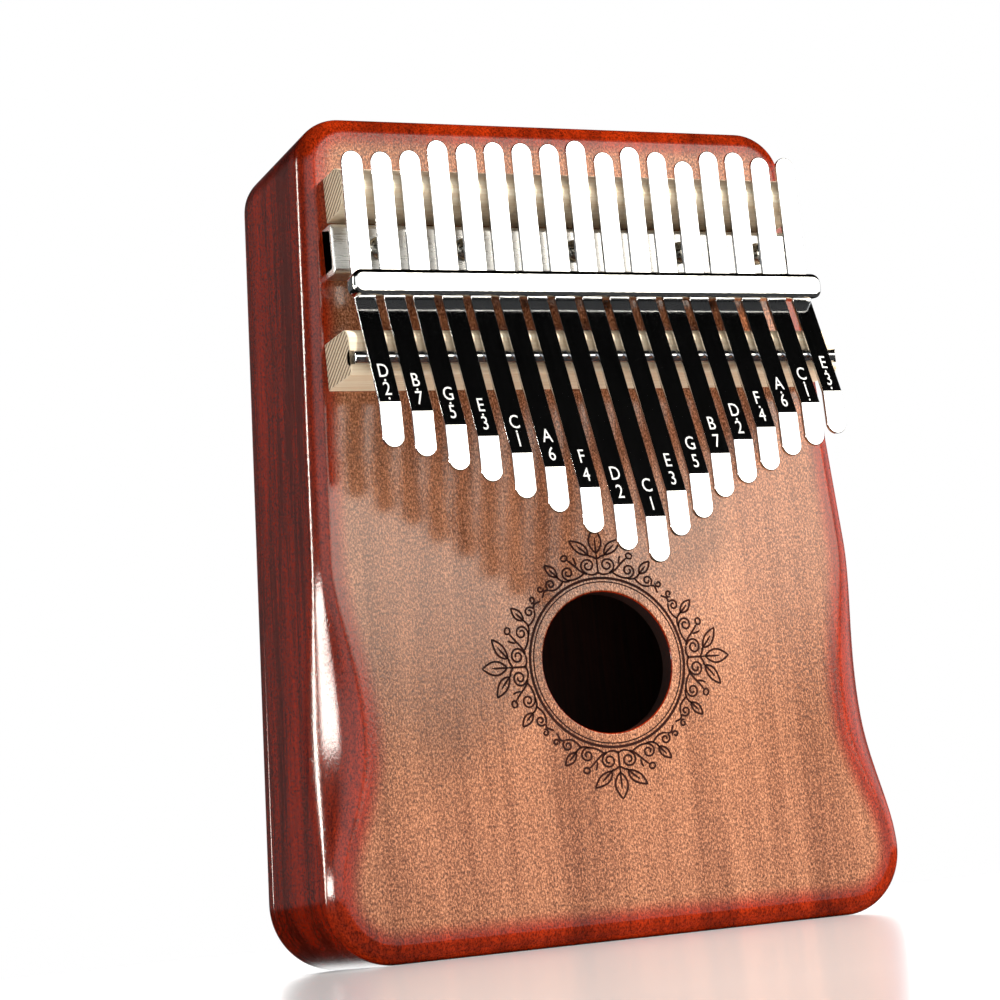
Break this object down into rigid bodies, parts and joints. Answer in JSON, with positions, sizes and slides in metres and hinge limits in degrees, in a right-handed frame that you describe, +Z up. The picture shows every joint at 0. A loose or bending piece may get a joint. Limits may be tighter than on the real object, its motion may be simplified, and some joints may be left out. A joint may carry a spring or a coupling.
{
  "type": "box kalimba",
  "caption": "Hollow wooden thumb piano with scooped sides, a sound hole, bridges, a clamp bar and bent steel tines that flex when plucked.",
  "frame": {"origin": "middle of the bottom of the object's bounding box, so the box stands on z = 0 on its bottom edge", "axes": "-Y out of the playing face towards the player, +Y out of the back, +X to the right seen from the front, +Z up towards the tail ends of the tines"},
  "size_m": [0.1392, 0.0726, 0.185],
  "materials": {
    "mahogany": "satin lacquer",
    "spruce": "raw",
    "maple": "raw, lightly sanded",
    "bright_steel": "bright drawn",
    "chrome": "polished",
    "zinc_steel": "zinc plated",
    "tine_steel": "polished spring steel"
  },
  "bodies": {
    "box": {"body_shell": "mahogany", "back_plate": "mahogany", "inner_brace": "spruce", "backstop_bridge": "maple", "front_bridge": "maple", "bridge_rod": "bright_steel", "base_bracket": "chrome", "bracket_screws": "zinc_steel", "pressure_bar": "chrome", "pressure_bar_screws": "zinc_steel", "tine_root_01": "tine_steel", "tine_root_02": "tine_steel", "tine_root_03": "tine_steel", "tine_root_04": "tine_steel", "tine_root_05": "tine_steel", "tine_root_06": "tine_steel", "tine_root_07": "tine_steel", "tine_root_08": "tine_steel", "tine_root_09": "tine_steel", "tine_root_10": "tine_steel", "tine_root_11": "tine_steel", "tine_root_12": "tine_steel", "tine_root_13": "tine_steel", "tine_root_14": "tine_steel", "tine_root_15": "tine_steel", "tine_root_16": "tine_steel", "tine_root_17": "tine_steel"},
    "tongue_01": {"tine_tongue_01": "tine_steel"},
    "tongue_02": {"tine_tongue_02": "tine_steel"},
    "tongue_03": {"tine_tongue_03": "tine_steel"},
    "tongue_04": {"tine_tongue_04": "tine_steel"},
    "tongue_05": {"tine_tongue_05": "tine_steel"},
    "tongue_06": {"tine_tongue_06": "tine_steel"},
    "tongue_07": {"tine_tongue_07": "tine_steel"},
    "tongue_08": {"tine_tongue_08": "tine_steel"},
    "tongue_09": {"tine_tongue_09": "tine_steel"},
    "tongue_10": {"tine_tongue_10": "tine_steel"},
    "tongue_11": {"tine_tongue_11": "tine_steel"},
    "tongue_12": {"tine_tongue_12": "tine_steel"},
    "tongue_13": {"tine_tongue_13": "tine_steel"},
    "tongue_14": {"tine_tongue_14": "tine_steel"},
    "tongue_15": {"tine_tongue_15": "tine_steel"},
    "tongue_16": {"tine_tongue_16": "tine_steel"},
    "tongue_17": {"tine_tongue_17": "tine_steel"}
  },
  "joints": [
    {"name": "tine_01_flex", "type": "hinge", "parent": "box", "child": "tongue_01", "pos_m": [-0.0536, -0.02286, 0.12474], "axis": [1, 0, 0], "range_deg": [-3, 3], "stiffness_Nm_per_rad": 8.94},
    {"name": "tine_02_flex", "type": "hinge", "parent": "box", "child": "tongue_02", "pos_m": [-0.0469, -0.02286, 0.12474], "axis": [1, 0, 0], "range_deg": [-3, 3], "stiffness_Nm_per_rad": 8.02},
    {"name": "tine_03_flex", "type": "hinge", "parent": "box", "child": "tongue_03", "pos_m": [-0.0402, -0.02286, 0.12474], "axis": [1, 0, 0], "range_deg": [-3, 3], "stiffness_Nm_per_rad": 6.96},
    {"name": "tine_04_flex", "type": "hinge", "parent": "box", "child": "tongue_04", "pos_m": [-0.0335, -0.02286, 0.12474], "axis": [1, 0, 0], "range_deg": [-3, 3], "stiffness_Nm_per_rad": 6.27},
    {"name": "tine_05_flex", "type": "hinge", "parent": "box", "child": "tongue_05", "pos_m": [-0.0268, -0.02286, 0.12474], "axis": [1, 0, 0], "range_deg": [-3, 3], "stiffness_Nm_per_rad": 5.47},
    {"name": "tine_06_flex", "type": "hinge", "parent": "box", "child": "tongue_06", "pos_m": [-0.0201, -0.02286, 0.12474], "axis": [1, 0, 0], "range_deg": [-3, 3], "stiffness_Nm_per_rad": 4.95},
    {"name": "tine_07_flex", "type": "hinge", "parent": "box", "child": "tongue_07", "pos_m": [-0.0134, -0.02286, 0.12474], "axis": [1, 0, 0], "range_deg": [-3, 3], "stiffness_Nm_per_rad": 4.34},
    {"name": "tine_08_flex", "type": "hinge", "parent": "box", "child": "tongue_08", "pos_m": [-0.0067, -0.02286, 0.12474], "axis": [1, 0, 0], "range_deg": [-3, 3], "stiffness_Nm_per_rad": 3.94},
    {"name": "tine_09_flex", "type": "hinge", "parent": "box", "child": "tongue_09", "pos_m": [0, -0.02286, 0.12474], "axis": [1, 0, 0], "range_deg": [-3, 3], "stiffness_Nm_per_rad": 3.69},
    {"name": "tine_10_flex", "type": "hinge", "parent": "box", "child": "tongue_10", "pos_m": [0.0067, -0.02286, 0.12474], "axis": [1, 0, 0], "range_deg": [-3, 3], "stiffness_Nm_per_rad": 4.2},
    {"name": "tine_11_flex", "type": "hinge", "parent": "box", "child": "tongue_11", "pos_m": [0.0134, -0.02286, 0.12474], "axis": [1, 0, 0], "range_deg": [-3, 3], "stiffness_Nm_per_rad": 4.63},
    {"name": "tine_12_flex", "type": "hinge", "parent": "box", "child": "tongue_12", "pos_m": [0.0201, -0.02286, 0.12474], "axis": [1, 0, 0], "range_deg": [-3, 3], "stiffness_Nm_per_rad": 5.29},
    {"name": "tine_13_flex", "type": "hinge", "parent": "box", "child": "tongue_13", "pos_m": [0.0268, -0.02286, 0.12474], "axis": [1, 0, 0], "range_deg": [-3, 3], "stiffness_Nm_per_rad": 5.86},
    {"name": "tine_14_flex", "type": "hinge", "parent": "box", "child": "tongue_14", "pos_m": [0.0335, -0.02286, 0.12474], "axis": [1, 0, 0], "range_deg": [-3, 3], "stiffness_Nm_per_rad": 6.49},
    {"name": "tine_15_flex", "type": "hinge", "parent": "box", "child": "tongue_15", "pos_m": [0.0402, -0.02286, 0.12474], "axis": [1, 0, 0], "range_deg": [-3, 3], "stiffness_Nm_per_rad": 7.47},
    {"name": "tine_16_flex", "type": "hinge", "parent": "box", "child": "tongue_16", "pos_m": [0.0469, -0.02286, 0.12474], "axis": [1, 0, 0], "range_deg": [-3, 3], "stiffness_Nm_per_rad": 8.31},
    {"name": "tine_17_flex", "type": "hinge", "parent": "box", "child": "tongue_17", "pos_m": [0.0536, -0.02286, 0.12474], "axis": [1, 0, 0], "range_deg": [-3, 3], "stiffness_Nm_per_rad": 9.63}
  ]
}
